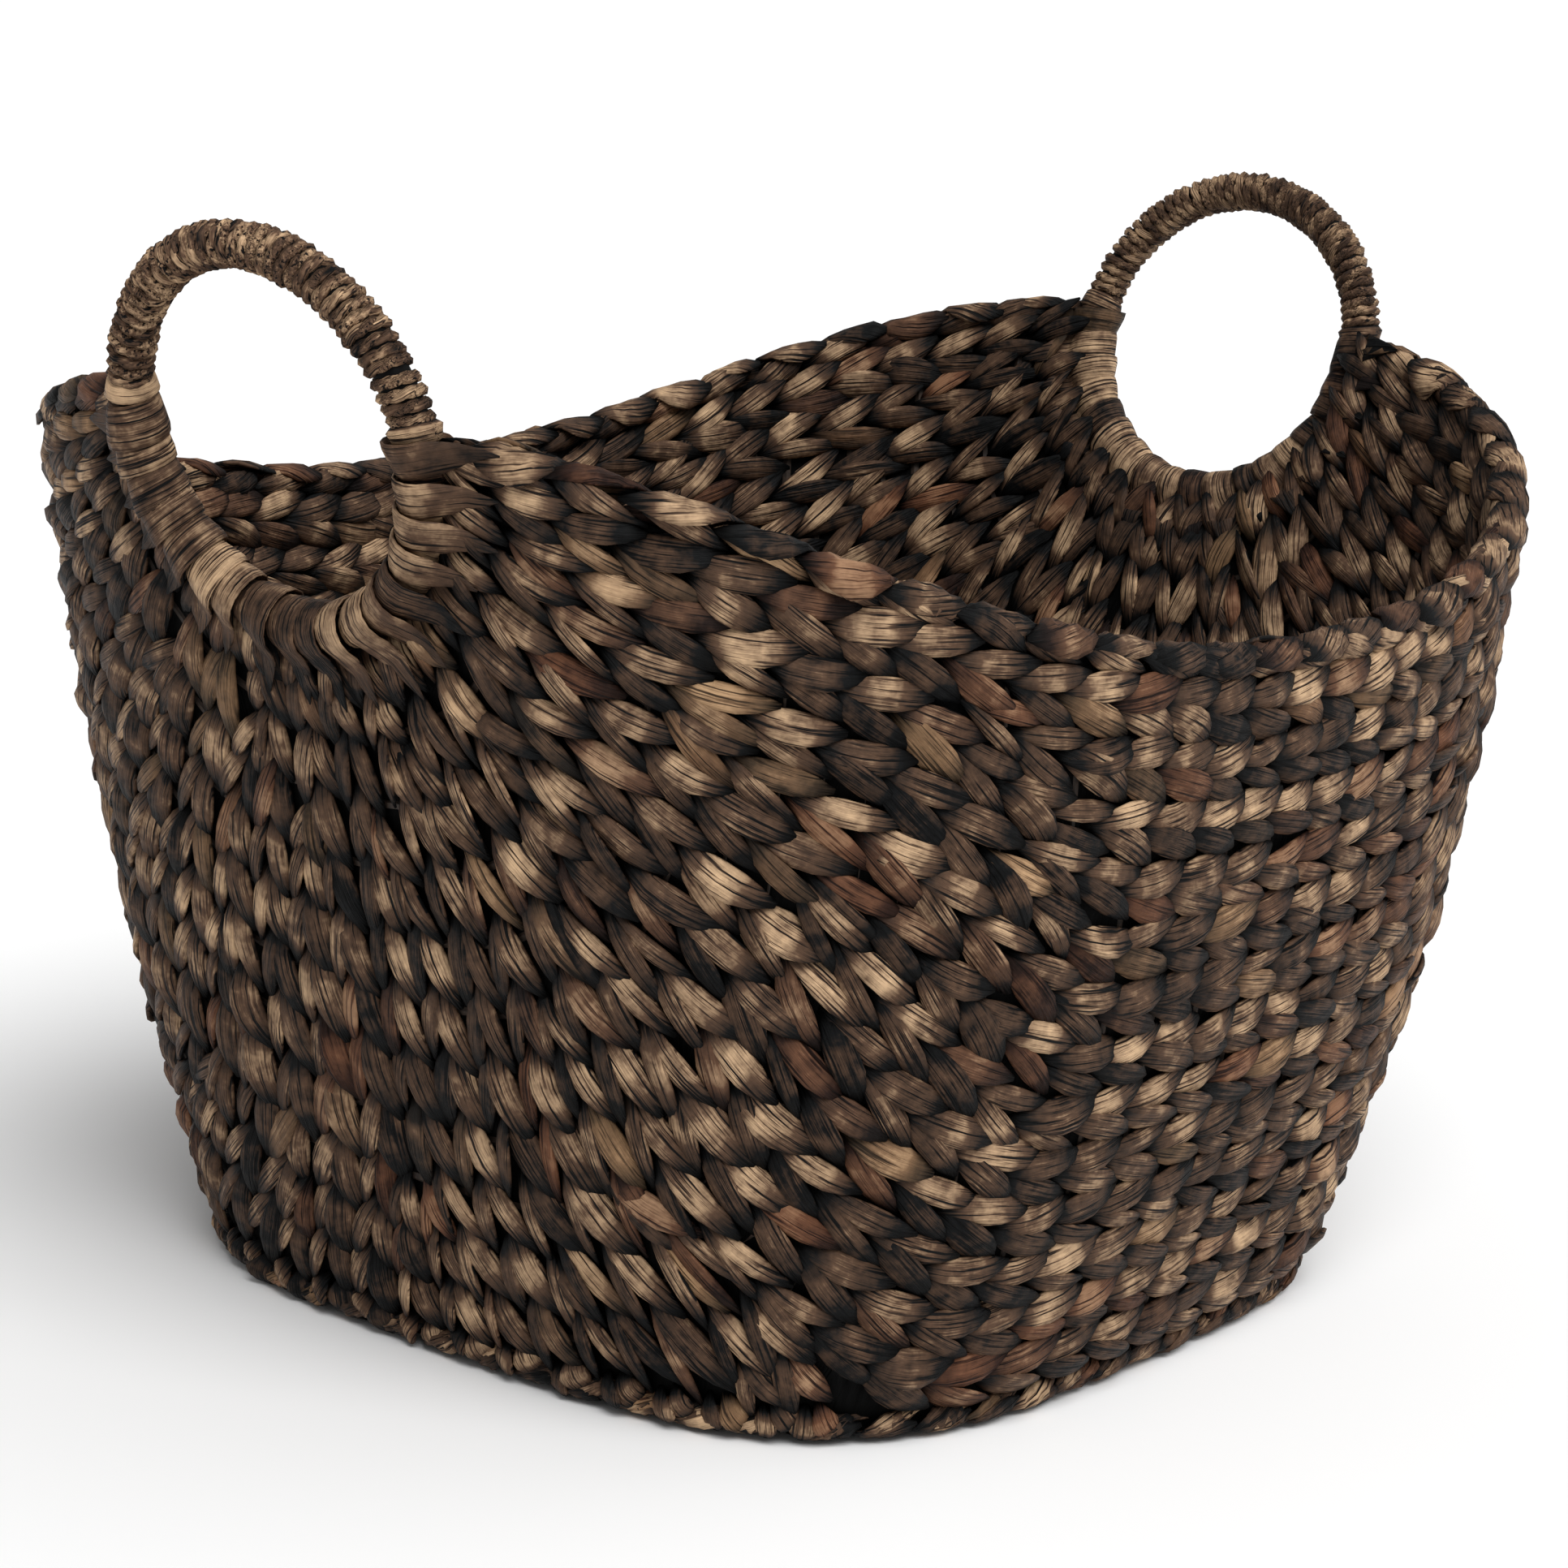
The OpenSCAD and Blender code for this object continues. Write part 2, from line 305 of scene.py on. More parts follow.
def courses():
    """Every twined pair of one quarter: its line over the wall from the ring to the foot or mid-side"""
    total = sizes().leaf_pairs
    fan = Fan()
    ring = ring_edge(sizes().ring_r / MM + BIND_R)
    rows = [ring] + [fan.row(0.0, z) for z in np.linspace(ring[0, 1] - 12.0, FOOT_ROLL_D + 10, N_ROWS)]
    present, stations = [], []
    for t, line in enumerate(rows):
        length = length_along(line)[-1]
        pitch = 16.5 if t == 0 else 17.5 + 0.35 * t       # of the pairs, wider lower down
        present.append(sorted(LAID_IN[:total if t == N_ROWS else min(total, int(round(length / pitch)))]))
        stations.append(spread(line, present[-1], total))
    side = [fan.row(b, FOOT_ROLL_D + 1) for b in SIDE_ROWS]
    middle = np.stack([np.full(50, 90.0), np.linspace(FOOT_ROLL_D, weave_top(90.0), 50)], -1)
    side = [spread(line, list(range(FOOT_PAIRS, total)), total) for line in side + [middle]]
    out = []
    for p in range(total):
        first = min(t for t in range(N_ROWS + 1) if p in present[t])
        knots = [stations[t][p] + (t,) for t in range(first, N_ROWS + 1)]
        if first:       # a pair laid in later starts hidden between its neighbours
            before = np.array(stations[first - 1][p] + (first - 1,))
            knots.insert(0, tuple(0.85 * before + 0.15 * np.array(knots[0])))
        else:
            b, z, t = knots[0]          # the others start under the ring's binding
            knots.insert(0, (b * 0.93, z + 6, -1))
        if p < FOOT_PAIRS:
            b = foot_bearing(p + 0.5)
            knots += [(b, FOOT_ROLL_D, N_ROWS + 0.5), (b, FOOT_ROLL_D - 6, N_ROWS + 0.6)]
        else:
            knots += [side[m][p] + (N_ROWS + 1 + m,) for m in range(len(side))]
            knots.append((94.0,) + knots[-1][1:])
        out.append(traced(p, knots, first, 2))
    # where the stream parts at the foot's corner, one more pair is laid in
    knots = [tuple((np.array(stations[t][FOOT_PAIRS - 1]) + stations[t][FOOT_PAIRS]) / 2) + (t,)
             for t in (N_ROWS - 2, N_ROWS - 1, N_ROWS)]
    knots += [(SEAM + 1.0, FOOT_ROLL_D + 4, N_ROWS + 0.5), (SEAM + 1.5, FOOT_ROLL_D - 6, N_ROWS + 0.6)]
    out.insert(FOOT_PAIRS, traced(FOOT_PAIRS - 0.5, knots, N_ROWS - 2, 0))
    # a pair is as wide as the distance to those beside it, or to the end's middle, the rim or the foot
    b = np.arange(0.0, 91.0)
    edges = (wall(0.0, np.arange(0, TALLEST, 4.0)), wall(b, weave_top(b)), wall(b[b > SEAM], FOOT_ROLL_D))
    skins = [wall(c["b"], c["z"]) for c in out]
    for k, course in enumerate(out):
        low = [nearest(skins[k], q) for q in skins[:k]]
        high = [nearest(skins[k], q) for q in skins[k + 1:]]
        low.append(2 * nearest(skins[k], edges[0]))
        high.append(2 * nearest(skins[k], edges[1]))
        (low if course["pair"] >= FOOT_PAIRS else high).append(2 * nearest(skins[k], edges[2]))
        wide = np.clip((np.min(low, axis=0) + np.min(high, axis=0)) / 2, NARROWEST, WIDEST)
        course["w"] = np.convolve(np.pad(wide, 8, mode="edge"), np.ones(17) / 17, mode="valid")
    return out


def foot_bearing(share):
    return math.degrees(math.atan(math.tan(math.radians(SEAM)) * share / FOOT_PAIRS))


def nearest(points, others):
    """Distance from each point to the nearest of the others"""
    return np.sqrt(((points[:, None] - others[None]) ** 2).sum(-1).min(1))


def traced(pair, knots, first, passes):
    """A pair's course through its knots, smoothed, at every 2 mm"""
    line = np.array(knots, float)
    for _ in range(passes):
        line[1:-1, :2] = line[1:-1, :2] / 2 + (line[:-2, :2] + line[2:, :2]) / 4
    line = smooth(line)
    run = length_along(line)
    u = np.linspace(0, run[-1], int(run[-1] / 2.0) + 2)
    b, z, row = (np.interp(u, run, line[:, k]) for k in range(3))
    return {"pair": pair, "run": u, "b": b, "z": z, "row": row, "starts_at_ring": first == 0, "first": first}


def mirrored(points, right, back):
    """Copy of points moved from the front left quarter to another"""
    return points * np.array([-1.0 if right else 1.0, -1.0 if back else 1.0, 1.0])


class Line:
    """A line on the basket that leaves lie along: points, and unit tangent, cross and outward vectors"""

    def __init__(self, points, outward):
        self.run = run_along(points)
        t = unit(np.gradient(points, self.run, axis=0))
        n = square_to(t, outward)
        self.frame = np.concatenate([points, t, np.cross(n, t), n], axis=1)

    def place(self, run, across, height, curl=0.0):
        """Points at a run along the line, across it and over it; curl is the radius they bend round"""
        if curl:
            turn, reach = across / curl, curl + height
            across, height = np.sin(turn) * reach, np.cos(turn) * reach - curl
        f = np.stack([np.interp(run, self.run, self.frame[:, k]) for k in range(12)], -1)
        over = np.clip(run, self.run[0], self.run[-1])
        return (f[..., 0:3] + f[..., 3:6] * (run - over)[..., None]
                + f[..., 6:9] * across[..., None] + f[..., 9:12] * height[..., None])

    def lay(self, at, forward, across, height):
        """Points of a leaf centred at a run along the line, straight but for the bend of the wall under it"""
        f = np.array([np.interp(at, self.run, self.frame[:, k]) for k in range(12)])
        under = self.place(at + forward, 0 * across, 0 * height) - f[0:3]
        height = height + under @ f[9:12]
        return f[0:3] + forward[:, None] * f[3:6] + across[:, None] * f[6:9] + height[:, None] * f[9:12]


# ---------------------------------------------------------------- one leaf, and many

def deselect():
    if bpy.context.mode != "OBJECT":
        bpy.ops.object.mode_set(mode="OBJECT")
    bpy.ops.object.select_all(action="DESELECT")


# along the leaf: half width and half thickness, from its tucked point to its round shoulder
LEAF_STATIONS = ((0.10, 0.35), (0.46, 0.68), (0.80, 0.92), (1.0, 1.0), (0.97, 1.0), (0.70, 0.80),
                 (0.18, 0.35))
# a long strap with a point at both ends
STRAP_STATIONS = [(min(1.0, 0.05 + 1.9 * f ** 0.9), min(1.0, 0.3 + 1.6 * f))
                  for f in (1 - abs(k / 12 - 1) for k in range(25))]


def pick(piece, kind, chosen):
    """Selects a piece's edges or corners in edit mode"""
    bpy.ops.mesh.select_mode(type=kind)
    bpy.ops.mesh.select_all(action="DESELECT")
    bm = bmesh.from_edit_mesh(piece.data)
    for part in (bm.edges if kind == "EDGE" else bm.verts):
        part.select_set(chosen(part))
    if kind == "VERT":
        bm.select_flush(True)
    bmesh.update_edit_mesh(piece.data)


def leaf_template(stations):
    """One pleated leaf of unit size: a ten-sided bar, cut across at its stations and swelled"""
    deselect()
    bpy.ops.mesh.primitive_cylinder_add(vertices=10, radius=1, depth=2, end_fill_type="NGON")
    leaf = bpy.context.object
    bpy.ops.object.mode_set(mode="EDIT")
    pick(leaf, "EDGE", lambda edge: abs(edge.verts[0].co.z - edge.verts[1].co.z) > 1)
    bpy.ops.mesh.subdivide(number_cuts=len(stations) - 2)
    for k, (wide, thick) in enumerate(stations):
        z = -1 + 2 * k / (len(stations) - 1)
        pick(leaf, "VERT", lambda corner: abs(corner.co.z - z) < 0.01)
        bpy.ops.transform.resize(value=(wide, thick, 1), center_override=(0, 0, z))
    bpy.ops.object.mode_set(mode="OBJECT")
    v = np.array([p.co[:] for p in leaf.data.vertices])
    faces = [list(p.vertices) for p in leaf.data.polygons]
    data = leaf.data
    bpy.data.objects.remove(leaf)
    bpy.data.meshes.remove(data)
    top = v[:, 1] > 0.05
    v[top & (np.abs(v[:, 0]) < 0.05), 1] *= 0.84          # the fold down its middle
    v[~top, 1] *= 0.55
    return v[:, [2, 0, 1]], faces


class LeafBuilder:
    """Collects copies of the leaf and makes them one mesh with its own strand attributes"""

    def __init__(self, seed, stations=LEAF_STATIONS):
        self.shape, self.faces = leaf_template(stations)
        self.rng = np.random.default_rng(seed)
        self.points, self.strand, self.tone = [], [], []

    def leaf(self, line, at, side, lane, length, width, thick, base, dive, slant, flip, wild=1.0, curl=0.0,
             tilt=0.0, bent=False, tone_span_painted_light=(0.0, 1.0)):
        """One leaf over a line; flip turns its tucked point to the far end, tilt lifts one of its edges"""
        r = self.rng.normal(size=8)
        u, x, y = self.shape.T
        length *= 1 + 0.06 * r[0] * wild
        width *= 1 + 0.10 * r[1] * wild
        slant = slant * (1 + 0.18 * r[2] * wild) * side * (-1 if flip else 1)
        lift = dive * (np.abs(u) ** 2.2) * np.where(u < 0, 1.0, 0.42)
        roll = 0.14 * r[3] * wild + tilt
        a = u * length / 2
        c = x * width / 2 + 0.10 * width * r[4] * wild * (1 - u * u)
        h = base + 0.35 * r[5] * wild - lift + y * thick / 2 + c * roll
        forward = a * math.cos(slant) - c * math.sin(slant)
        across = a * math.sin(slant) + c * math.cos(slant)
        if flip:
            forward, across = -forward, -across
        at = at + 0.9 * r[6] * wild
        if bent or curl:
            self.points.append(line.place(at + forward, side * lane + across, h, curl))
        else:
            self.points.append(line.lay(at, forward, side * lane + across, h))
        self.strand.append(np.stack([a, x * width / 2, np.where(u > 0, 0.86 * u, u)], -1))
        own, red, pale = self.rng.random(3)
        # the tone span can paint light or shade into a whole leaf; the weave uses it for a pair's upper and
        # lower leaves
        self.tone.append(np.tile([tone_span_painted_light[0] + own * (tone_span_painted_light[1] - tone_span_painted_light[0]), red, pale, 1.0], (len(u), 1)))

    def finish(self, name, slot, *nodes):
        """Makes the leaves one piece"""
        n = len(self.shape)
        pts = np.concatenate(self.points) * MM
        faces = [[i + k * n for i in f] for k in range(len(self.points)) for f in self.faces]
        piece = mesh_object(name, pts, faces, np.concatenate(self.strand), np.concatenate(self.tone))
        finish_piece(piece, leaf_stain_shade_highlight(), slot, *nodes)


def mesh_object(name, points, faces, strand, tone):
    """A smooth mesh object with the strand (mm along, mm across, place -1 to 1) and tone attributes"""
    points = np.maximum(points, [-1.0, -1.0, 0.0])      # pressed flat where the basket stands
    deselect()
    mesh = bpy.data.meshes.new(name)
    mesh.from_pydata(points.tolist(), [], faces)
    mesh.update()
    mesh.polygons.foreach_set("use_smooth", [True] * len(mesh.polygons))
    a = mesh.attributes.new("strand", "FLOAT_VECTOR", "POINT")
    a.data.foreach_set("vector", np.asarray(strand, np.float32).ravel())
    c = mesh.attributes.new("tone", "FLOAT_COLOR", "POINT")
    c.data.foreach_set("color", np.asarray(tone, np.float32).ravel())
    ob = bpy.data.objects.new(name, mesh)
    bpy.context.scene.collection.objects.link(ob)
    return ob


def finish_piece(piece, material, slot, *nodes):
    """Gives a piece its material, parents it to its body and hides the nodes it stands for; the slot is not
    used
    """
    piece.data.materials.clear()
    piece.data.materials.append(material)
    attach(piece, BODY)
    if nodes:
        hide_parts(*nodes)


# ---------------------------------------------------------------- materials

def node(tree, kind, inputs=None, stops=(), **settings):
    """Adds a shader node; an input is a socket to link or a constant, stops are a ramp's colours"""
    n = tree.nodes.new(kind)
    for key, value in settings.items():
        setattr(n, key, value)
    for key, value in (inputs or {}).items():
        if isinstance(value, bpy.types.NodeSocket):
            tree.links.new(value, n.inputs[key])
        else:
            n.inputs[key].default_value = value
    for k, (at, colour) in enumerate(stops):
        e = n.color_ramp.elements[k] if k < 2 else n.color_ramp.elements.new(at)
        e.position = at
        e.color = colour if isinstance(colour, tuple) else (colour, colour, colour, 1)
    return n.outputs[2 if kind == "ShaderNodeMix" else 0] if len(n.outputs) else None


def new_material(name):
    if name in bpy.data.materials:
        return bpy.data.materials[name], None
    m = bpy.data.materials.new(name)
    m.use_nodes = True
    m.node_tree.nodes.clear()
    return m, m.node_tree


MATH, NOISE, RAMP = "ShaderNodeMath", "ShaderNodeTexNoise", "ShaderNodeValToRGB"


def leaf_stain_shade_highlight(name="stained_water_hyacinth_leaf_painted_shade_highlight", shade=1.0, gloss=0.50):
    """Flattened, dried hyacinth stem, dip-stained: fine ribs along it, a light crown that is partly a painted
    highlight, near-black tucks that are partly painted shade
    """
    m, t = new_material(name)
    if t is None:
        return m
    c = colours()
    strand = node(t, "ShaderNodeAttribute", attribute_name="strand").node.outputs["Vector"]
    tone = node(t, "ShaderNodeAttribute", attribute_name="tone")
    along, across, place = node(t, "ShaderNodeSeparateXYZ", {0: strand}).node.outputs
    own, red, pale = node(t, "ShaderNodeSeparateColor", {0: tone}).node.outputs
    shift = node(t, MATH, {0: own, 1: 91.0}, operation="MULTIPLY")
    # noise drawn out along the strand: patches per mm along and across it, detail and roughness
    drawn = []
    for per_along, per_across, detail, rough in (
            (0.05, 1.6, 3.0, 0.65), (0.03, 0.30, 1.5, 0.5), (0.035, 1.1, 2.0, 0.55)):
        x = node(t, MATH, {0: along, 1: per_along}, operation="MULTIPLY")
        y = node(t, MATH, {0: across, 1: per_across}, operation="MULTIPLY")
        at = node(t, "ShaderNodeCombineXYZ", {0: x, 1: y, 2: shift})
        drawn.append(node(t, NOISE, {"Vector": at, "Scale": 1.0, "Detail": detail, "Roughness": rough}))
    ribs, folds, cracks = drawn
    # thin dark cracks between the ribs
    cracks = node(t, RAMP, {0: cracks}, stops=((0.34, 0.22), (0.45, 1.0)))
    # stain that took unevenly, patches of 6 to 12 mm
    where = node(t, "ShaderNodeTexCoord").node.outputs["Object"]
    mottle = node(t, NOISE, {"Vector": where, "Scale": 110.0, "Detail": 3.5, "Roughness": 0.62})
    # crown: 1 on the middle of the leaf, 0 at its tucked ends, with a ragged edge; it makes the crown light,
    # partly own tone and partly painted highlight, and the tucked ends near-black, partly stain and partly
    # painted shade
    ragged = node(t, MATH, {0: ribs, 1: 0.9, 2: -0.45}, operation="MULTIPLY_ADD")
    ragged = node(t, MATH, {0: node(t, MATH, {0: place}, operation="ABSOLUTE"), 1: ragged}, operation="ADD")
    crown = node(t, RAMP, {0: ragged}, stops=((0.24, 1.0), (0.86, 0.0)))
    light = node(t, MATH, {0: mottle, 1: 0.95, 2: -0.62}, operation="MULTIPLY_ADD")
    light = node(t, MATH, {0: ribs, 1: 0.80, 2: light}, operation="MULTIPLY_ADD")
    light = node(t, MATH, {0: own, 1: 0.55, 2: light}, operation="MULTIPLY_ADD")
    light = node(t, MATH, {0: light, 1: crown}, operation="MULTIPLY")
    light = node(t, MATH, {0: light, 1: cracks}, operation="MULTIPLY", use_clamp=True)
    # ramp from near-black painted shade through the charcoal stain and its painted sheen to the crown's
    # painted highlight
    body = node(t, RAMP, {0: light}, stops=((0.0, linear(c.leaf_shade_and_cracks)), (0.20, linear(c.leaf_charcoal_sheen)),
                                            (0.54, linear(c.leaf_mid)), (0.97, linear(c.leaf_crown_highlight_tan))))
    for which, low, most, colour in ((red, 0.84, 0.85, c.leaf_rust), (pale, 0.93, 0.8, c.leaf_straw)):
        share = node(t, RAMP, {0: which}, stops=((low, 0.0), (1.0, most)))
        share = node(t, MATH, {0: share, 1: light}, operation="MULTIPLY")
        body = node(t, "ShaderNodeMix", {0: share, 6: body, 7: linear(colour)}, data_type="RGBA")
    body = node(t, "ShaderNodeMix", {0: 1.0, 6: body, 7: (shade, shade, shade, 1)}, data_type="RGBA",
                blend_type="MULTIPLY")
    rough = node(t, RAMP, {0: ribs}, stops=((0.25, gloss + 0.18), (0.75, gloss - 0.08)))
    height = node(t, MATH, {0: ribs, 1: 0.6, 2: folds}, operation="MULTIPLY_ADD")
    height = node(t, MATH, {0: cracks, 1: 0.35, 2: height}, operation="MULTIPLY_ADD")
    bump = node(t, "ShaderNodeBump", {"Height": height, "Strength": 1.0, "Distance": 1.3 * MM})
    shader = node(t, "ShaderNodeBsdfPrincipled", {"Base Color": body, "Roughness": rough, "Normal": bump,
                                                  "IOR": 1.42, "Specular IOR Level": 0.12})
    node(t, "ShaderNodeOutputMaterial", {0: shader})
    return m


def plain_fibre(name, dark, light, scale_mm, rough, metallic=0.0):
    """Finish of the hidden stakes, rods and rings: uneven stain or enamel at the given patch size"""
    m, t = new_material(name)
    if t is None:
        return m
    where = node(t, "ShaderNodeTexCoord").node.outputs["Object"]
    patch = node(t, NOISE, {"Vector": where, "Scale": 1 / (scale_mm * MM), "Detail": 4.0})
    colour = node(t, RAMP, {0: patch}, stops=((0.3, linear(dark)), (0.7, linear(light))))
    bump = node(t, "ShaderNodeBump", {"Height": patch, "Strength": 0.4, "Distance": 0.3 * MM})
    shader = node(t, "ShaderNodeBsdfPrincipled", {"Base Color": colour, "Normal": bump, "Roughness": rough,
                                                  "Metallic": metallic})
    node(t, "ShaderNodeOutputMaterial", {0: shader})
    return m


# ---------------------------------------------------------------- walls

OUTER_NODES, INNER_NODES = ({k: k + face for k in ("front", "back", "left", "right")}
                            for face in ("_outer_weave", "_inner_weave"))
LEAF_THICK = 4.6
LEAF_PITCH = 23.2                 # at the rim, a little more at the foot
RING_LEAF, FOOT_LEAF = 31.0, 15.0     # lengths of a course's first leaf at the ring and last at the foot


def crowns(course):
    """Runs along a course where its leaves cross over the stakes"""
    run, b, z = course["run"], course["b"], course["z"]
    start = 11.0 if course["starts_at_ring"] else 3.0
    if course["pair"] < FOOT_PAIRS:
        rows = np.interp(np.arange(max(course["first"], 1), N_ROWS + 1), course["row"], run)
        at = [start] + list(rows[(rows > start + 12) & (rows < run[-1] - 17)]) + [run[-1] - 5.0]
        more = [(x + y) / 2 for x, y in zip(at[:-1], at[1:]) if y - x > 36]
        return np.array(sorted(at + more))
    end = np.interp(-CROSS_PITCH / 2, wall(b, z)[:, 0], run)
    pitch = LEAF_PITCH + 2.2 * (1 - z[-1] * MM / sizes().rim_low_h)
    n = int(round((end - start) / pitch))
    return start + (end - start) * np.arange(n + 1) / n


def weave(inside, seed):
    """Leaves of one face of the wall, one builder for each panel; a pair's upper leaf is painted lighter as
    painted light from above, its lower leaf darker as painted shade
    """
    builders = {k: LeafBuilder(seed + i) for i, k in enumerate(OUTER_NODES)}
    depth = (sizes().wall_t / MM) if inside else 0.0
    for course in courses():
        b, z = course["b"], course["z"]
        skin, out = wall(b, z), wall_out(b, z)
        at = crowns(course)
        gaps = np.gradient(at) if len(at) > 1 else np.array([24.0])
        wide, bearing = (np.interp(at, course["run"], course[k]) for k in ("w", "b"))
        for right in (False, True):
            for back in (False, True):
                normal = mirrored(out, right, back)
                line = Line(mirrored(skin, right, back) - normal * depth, -normal if inside else normal)
                for k, run in enumerate(at):
                    ends, sides = ("left", "right")[right], ("front", "back")[back]
                    panel = ends if bearing[k] < SEAM else sides
                    length = 1.34 * gaps[k] + 8.0
                    if k == 0 and course["starts_at_ring"]:
                        length = RING_LEAF
                    if k == len(at) - 1 and course["pair"] < FOOT_PAIRS:
                        length = FOOT_LEAF
                    for side in (-1, 1):
                        # the leaf of the pair that faces up gets a raised tone span as painted light, the
                        # other a lowered one as painted shade
                        upper = (side > 0) == ((right == back) != inside)
                        builders[panel].leaf(
                            line, run, side, 0.225 * wide[k], length, 0.56 * wide[k], LEAF_THICK,
                            -1.2, 5.4, math.atan2(0.31 * wide[k], 1.1 * gaps[k]), right,
                            tilt=(0.30 if right else -0.30) * side,
                            tone_span_painted_light=(0.22, 1.0) if upper else (0.0, 0.80))
    return builders


class BASKET_OT_outer_leaves(bpy.types.Operator):
    """Twines the leaves of the outside of the wall"""
    bl_idname = "basket.outer_leaves"
    bl_label = "Outer leaves"

    def execute(self, context):
        for panel, builder in weave(False, 11).items():
            builder.finish(panel + "_outer_leaves", "outer_leaf", OUTER_NODES[panel])
        return {"FINISHED"}


class BASKET_OT_inner_leaves(bpy.types.Operator):
    """Twines the leaves of the inside of the wall"""
    bl_idname = "basket.inner_leaves"
    bl_label = "Inner leaves"

    def execute(self, context):
        for panel, builder in weave(True, 31).items():
            builder.finish(panel + "_inner_leaves", "inner_leaf", INNER_NODES[panel])
        return {"FINISHED"}


def panel_top(b):
    """Top of the wall's core: under the rim, and under the ring at the ends"""
    s = sizes()
    top = weave_top(b) - 1
    reach = (s.ring_r / MM) + BIND_R - 2
    y = np.abs(np.tan(np.radians(b))) * (half_len(s.ring_h / MM - 60) - 6)
    near = (y < reach) & (np.abs(np.cos(np.radians(b))) > 0.5)
    arc = s.ring_h / MM - math.cos(s.ring_lean) * np.sqrt(np.clip(reach ** 2 - y ** 2, 0, None))
    return np.where(near, np.minimum(top, arc), top)


def core_piece(name, loops, faces, along, slot, nodes):
    """A closed piece behind the leaves, darkened near-black as painted shade, its strands along x (0) or z
    (2)
    """
    points = loops.reshape(-1, 3)
    strand = np.stack([points[:, along], np.arange(len(points)) % 17 / 3, np.ones(len(points))], -1)
    piece = mesh_object(name, points * MM, faces, strand, np.tile([0.2, 0.5, 0.5, 1.0], (len(points), 1)))
    recalculate(piece)
    # the shade factor of 0.12 darkens the core as painted shade seen through the gaps between the leaves
    finish_piece(piece, leaf_stain_shade_highlight("shade_darkened_leaf_core", 0.12, 0.75), slot, *nodes)


class BASKET_OT_core(bpy.types.Operator):
    """Fills the middle of the wall and floor with the strands that pass between the stakes, made near-black
    as painted shade in the gaps
    """
    bl_idname = "basket.core"
    bl_label = "Wall and floor core"

    def execute(self, context):
        b = np.degrees(np.linspace(0, 2 * np.pi, 240, endpoint=False))[:, None]
        z = 4 + (panel_top(b) - 4) * np.linspace(0, 1, 24)
        skin, out = wall(b, z), wall_out(b, z)
        loops = np.concatenate([skin - out * 5.4, (skin - out * 7.6)[:, ::-1]], axis=1)
        core_piece("wall_core", loops, grid_faces(*loops.shape[:2]), 2, "inner_leaf", INNER_NODES.values())
        edge = wall(b, 7.0) - wall_out(b, 7.0) * 6.5
        share = np.array([0.02, 0.5, 1.0, 1.0, 0.5, 0.02])
        height = np.array([10.5, 10.5, 10.5, 4.0, 4.0, 4.0]) + 0 * b
        loops = np.stack([edge[..., 0] * share, edge[..., 1] * share, height], -1)
        n, m = loops.shape[:2]
        caps = [[i * m for i in range(n)], [i * m + m - 1 for i in range(n)]]
        core_piece("floor_core", loops, grid_faces(n, m, True, False) + caps, 0, "floor_leaf",
                   ("floor_weave_upper", "floor_weave_lower"))
        return {"FINISHED"}


def recalculate(piece):
    """Turns a closed piece's faces outward"""
    deselect()
    bpy.context.view_layer.objects.active = piece
    piece.select_set(True)
    bpy.ops.object.mode_set(mode="EDIT")
    bpy.ops.mesh.select_all(action="SELECT")
    bpy.ops.mesh.normals_make_consistent(inside=False)
    bpy.ops.object.mode_set(mode="OBJECT")


# ---------------------------------------------------------------- rim and foot

def roll_line(b, z, depth, turn):
    """Line round a roll of the rim or foot: turn is the angle from straight out towards straight up"""
    normal = wall_out(b, z)
    centre = wall(b, z) - normal * depth
    t = unit(np.gradient(centre, axis=0))
    out = square_to(t, normal * [1, 1, 0])
    up = np.cross(out, t)
    up *= np.sign(up[:, 2:3])
    a = math.radians(turn)
    return centre, out * math.cos(a) + up * math.sin(a)


def braid(builder, centre, out, lift, pitch, width, thick, side, dive, start, slant, curl):
    """A row of slanted leaves along a roll"""
    line = Line(centre, out)
    n = int(line.run[-1] / pitch)
    step = line.run[-1] / n
    for k in range(n):
        builder.leaf(line, (k + start) * step, side, 0.0, 1.35 * step, width, thick, lift, dive,
                     math.radians(slant), False, curl=curl)


class BASKET_OT_rim(bpy.types.Operator):
    """Plaits the roll along each long rim"""
    bl_idname = "basket.rim"
    bl_label = "Rim rolls"

    def execute(self, context):
        b = np.linspace(16.2, 180 - 16.2, 400)
        z = rim_z(b) - ROLL_D / 2
        for name, back in (("front", False), ("back", True)):
            builder = LeafBuilder(51 + back)
            # rows low outside, on top, and inside
            for turn, side, start, width, slant, lift in ((-20, -1, 0.62, 13.0, 14, -0.4),
                                                          (72, 1, 0.5, 17.0, 17, 1.2),
                                                          (178, -1, 0.3, 15.0, 16, -0.2)):
                line = roll_line(b, z, sizes().wall_t / MM / 2, turn)
                centre, out = (mirrored(v, False, back) for v in line)
                braid(builder, centre + out * 5.0, out, lift, 27.0, width, 4.2, side * (-1 if back else 1),
                      2.0, start, slant, 6.0)
            builder.finish(name + "_rim_braid", "roll_leaf", name + "_rim_roll")
        return {"FINISHED"}


